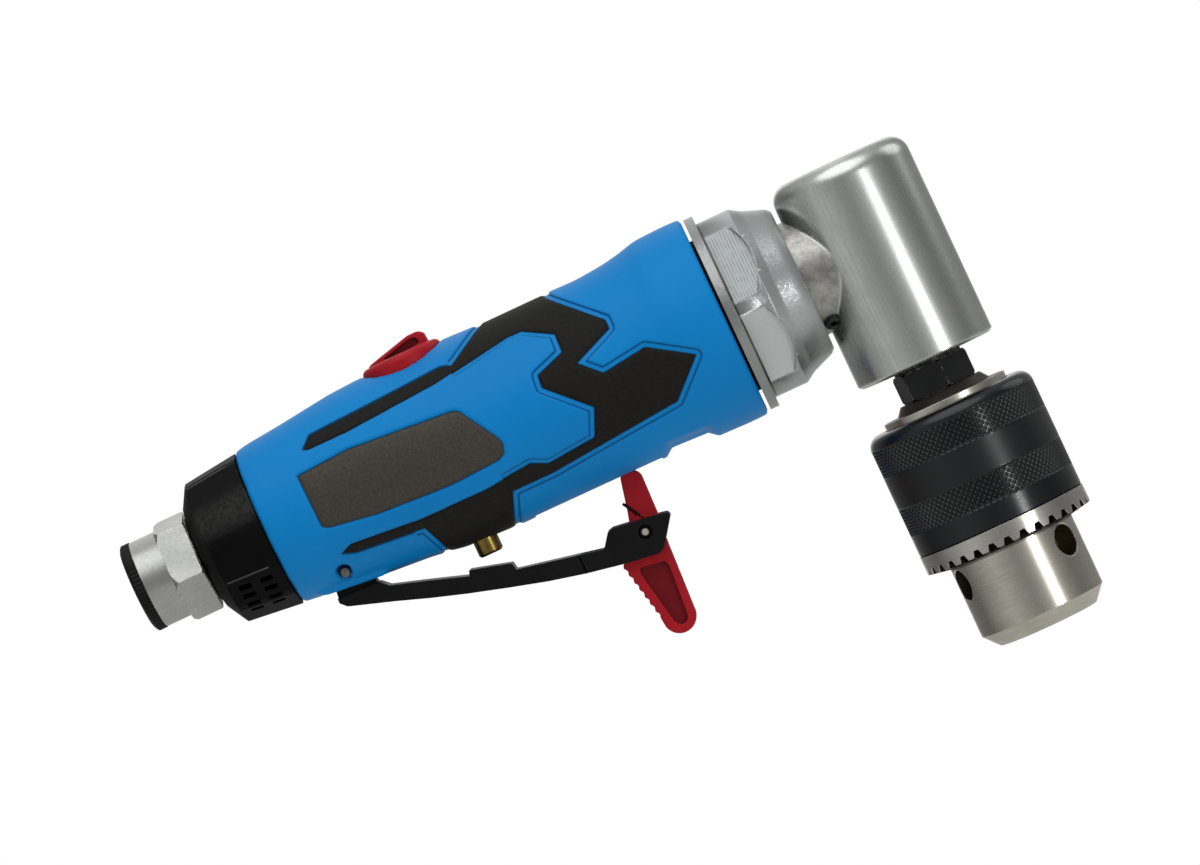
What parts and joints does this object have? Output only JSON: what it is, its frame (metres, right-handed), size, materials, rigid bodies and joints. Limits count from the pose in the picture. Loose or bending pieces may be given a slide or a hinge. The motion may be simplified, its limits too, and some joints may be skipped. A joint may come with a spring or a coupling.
{
  "type": "right angle air drill",
  "caption": "Pneumatic right angle drill with a blue and black grip, lever throttle with red safety lock, red reverse knob and a keyed three-jaw chuck.",
  "frame": {"origin": "centre of the chuck mouth, on the spindle axis", "axes": "-Z out of the chuck, +X from the air inlet towards the head along the motor axis, the pictured side faces -Y"},
  "size_m": [0.1782, 0.0424, 0.105],
  "materials": {
    "blue_abs": "satin moulded plastic",
    "black_rubber": "fine matt moulded rubber",
    "plate_metal": "satin printed sheet, left bare",
    "black_nylon": "satin moulded nylon",
    "red_nylon": "moulded nylon",
    "plated_steel": "zinc plated, satin",
    "silver_paint": "silver paint with a fine sparkle",
    "cast_metal": "satin polished casting",
    "brass": "turned",
    "tool_steel": "ground",
    "black_oxide": "blue-black oxide with oil",
    "bright_steel": "bright turned steel",
    "spring_steel": "drawn wire",
    "vane_fibre": "laminated resin"
  },
  "bodies": {
    "housing": {"air_inlet_bushing": "plated_steel", "inlet_strainer": "bright_steel", "motor_case": "cast_metal", "grip_sleeve": "blue_abs", "rubber_grip": "black_rubber", "rating_plate": "plate_metal", "lever_pin": "plated_steel", "plunger_bush": "brass", "valve_spring": "spring_steel", "rear_end_plate": "cast_metal", "rear_rotor_bearing": "tool_steel", "motor_cylinder": "tool_steel", "front_end_plate": "cast_metal", "front_rotor_bearing": "tool_steel", "ring_gear": "tool_steel", "pinion_bearing": "tool_steel", "front_gasket": "black_rubber", "coupling_nut": "silver_paint", "angle_head": "cast_metal", "neck_lock_screw": "black_oxide", "spindle_upper_bearing": "tool_steel", "spindle_lower_bearing": "tool_steel", "bearing_retainer": "tool_steel"},
    "dust_plug": {"inlet_dust_plug": "black_nylon"},
    "deflector": {"exhaust_deflector": "black_nylon"},
    "trigger": {"throttle_lever": "black_nylon", "lock_pin": "plated_steel"},
    "safety_lock": {"lock_lever": "red_nylon", "lock_spring": "spring_steel"},
    "plunger": {"throttle_plunger": "brass"},
    "reverse_control": {"reverse_knob": "red_nylon", "reverse_valve": "brass"},
    "motor_rotor": {"rotor": "tool_steel", "rotor_vanes": "vane_fibre"},
    "carrier": {"planet_pins": "bright_steel", "planet_carrier": "tool_steel", "bevel_pinion": "tool_steel"},
    "planet_1": {"planet_gear_1": "tool_steel"},
    "planet_2": {"planet_gear_2": "tool_steel"},
    "planet_3": {"planet_gear_3": "tool_steel"},
    "drive_spindle": {"bevel_gear": "tool_steel", "spindle": "black_oxide", "chuck_body": "bright_steel", "chuck_screw": "tool_steel"},
    "key_sleeve": {"chuck_sleeve": "black_oxide", "chuck_gear_ring": "bright_steel", "chuck_nut": "tool_steel"},
    "jaw_1": {"chuck_jaw_1": "tool_steel"},
    "jaw_2": {"chuck_jaw_2": "tool_steel"},
    "jaw_3": {"chuck_jaw_3": "tool_steel"}
  },
  "joints": [
    {"name": "chuck_spin", "type": "hinge", "parent": "housing", "child": "drive_spindle", "pos_m": [0, 0, 0.03], "axis": [0, 0, -1], "continuous": true},
    {"name": "carrier_spin", "type": "hinge", "parent": "housing", "child": "carrier", "pos_m": [0, 0, 0.082], "axis": [1, 0, 0], "continuous": true},
    {"name": "rotor_spin", "type": "hinge", "parent": "housing", "child": "motor_rotor", "pos_m": [0, 0, 0.082], "axis": [1, 0, 0], "continuous": true},
    {"name": "planet_spin_1", "type": "hinge", "parent": "carrier", "child": "planet_1", "pos_m": [-0.0435, 0, 0.07471], "axis": [1, 0, 0], "continuous": true},
    {"name": "planet_spin_2", "type": "hinge", "parent": "carrier", "child": "planet_2", "pos_m": [-0.0435, 0.00631, 0.08564], "axis": [1, 0, 0], "continuous": true},
    {"name": "planet_spin_3", "type": "hinge", "parent": "carrier", "child": "planet_3", "pos_m": [-0.0435, -0.00631, 0.08564], "axis": [1, 0, 0], "continuous": true},
    {"name": "chuck_key_turn", "type": "hinge", "parent": "drive_spindle", "child": "key_sleeve", "pos_m": [0, 0, 0.03], "axis": [0, 0, 1], "range_deg": [0, 3600]},
    {"name": "jaw_slide_1", "type": "slide", "parent": "drive_spindle", "child": "jaw_1", "axis": [-0.2123, -0.0744, -0.9744], "range_m": [0, 0.0189]},
    {"name": "jaw_slide_2", "type": "slide", "parent": "drive_spindle", "child": "jaw_2", "axis": [0.1705, -0.1467, -0.9744], "range_m": [0, 0.0189]},
    {"name": "jaw_slide_3", "type": "slide", "parent": "drive_spindle", "child": "jaw_3", "axis": [0.0418, 0.221, -0.9744], "range_m": [0, 0.0189]},
    {"name": "trigger_pull", "type": "hinge", "parent": "housing", "child": "trigger", "pos_m": [-0.1213, 0, 0.0679], "axis": [0, -1, 0], "range_deg": [0, 7.5], "stiffness_Nm_per_rad": 0.8},
    {"name": "lock_swing", "type": "hinge", "parent": "trigger", "child": "safety_lock", "pos_m": [-0.0645, 0, 0.0501], "axis": [0, -1, 0], "range_deg": [0, 87]},
    {"name": "plunger_push", "type": "slide", "parent": "housing", "child": "plunger", "axis": [0, 0, 1], "range_m": [0, 0.0018], "deforming": ["valve_spring"]},
    {"name": "reverse_turn", "type": "hinge", "parent": "housing", "child": "reverse_control", "pos_m": [-0.0939, 0, 0.1], "axis": [0, 0, 1], "range_deg": [-45, 45]},
    {"name": "deflector_turn", "type": "hinge", "parent": "housing", "child": "deflector", "pos_m": [-0.1456, 0, 0.082], "axis": [1, 0, 0], "continuous": true},
    {"name": "plug_pull", "type": "slide", "parent": "housing", "child": "dust_plug", "axis": [-1, 0, 0], "range_m": [0, 0.045]}
  ],
  "couplings": [
    {"joint": "carrier_spin", "follows": "chuck_spin", "ratio": 2},
    {"joint": "rotor_spin", "follows": "chuck_spin", "ratio": 9},
    {"joint": "planet_spin_1", "follows": "chuck_spin", "ratio": -5.6},
    {"joint": "planet_spin_2", "follows": "chuck_spin", "ratio": -5.6},
    {"joint": "planet_spin_3", "follows": "chuck_spin", "ratio": -5.6},
    {"joint": "jaw_slide_2", "follows": "jaw_slide_1", "ratio": 1},
    {"joint": "jaw_slide_3", "follows": "jaw_slide_1", "ratio": 1},
    {"joint": "chuck_key_turn", "follows": "jaw_slide_1", "rad_per_m": 3324.4},
    {"joint": "trigger_pull", "follows": "plunger_push", "rad_per_m": 72.72},
    {"joint": "lock_swing", "follows": "plunger_push", "rad_per_m": 836.28}
  ]
}
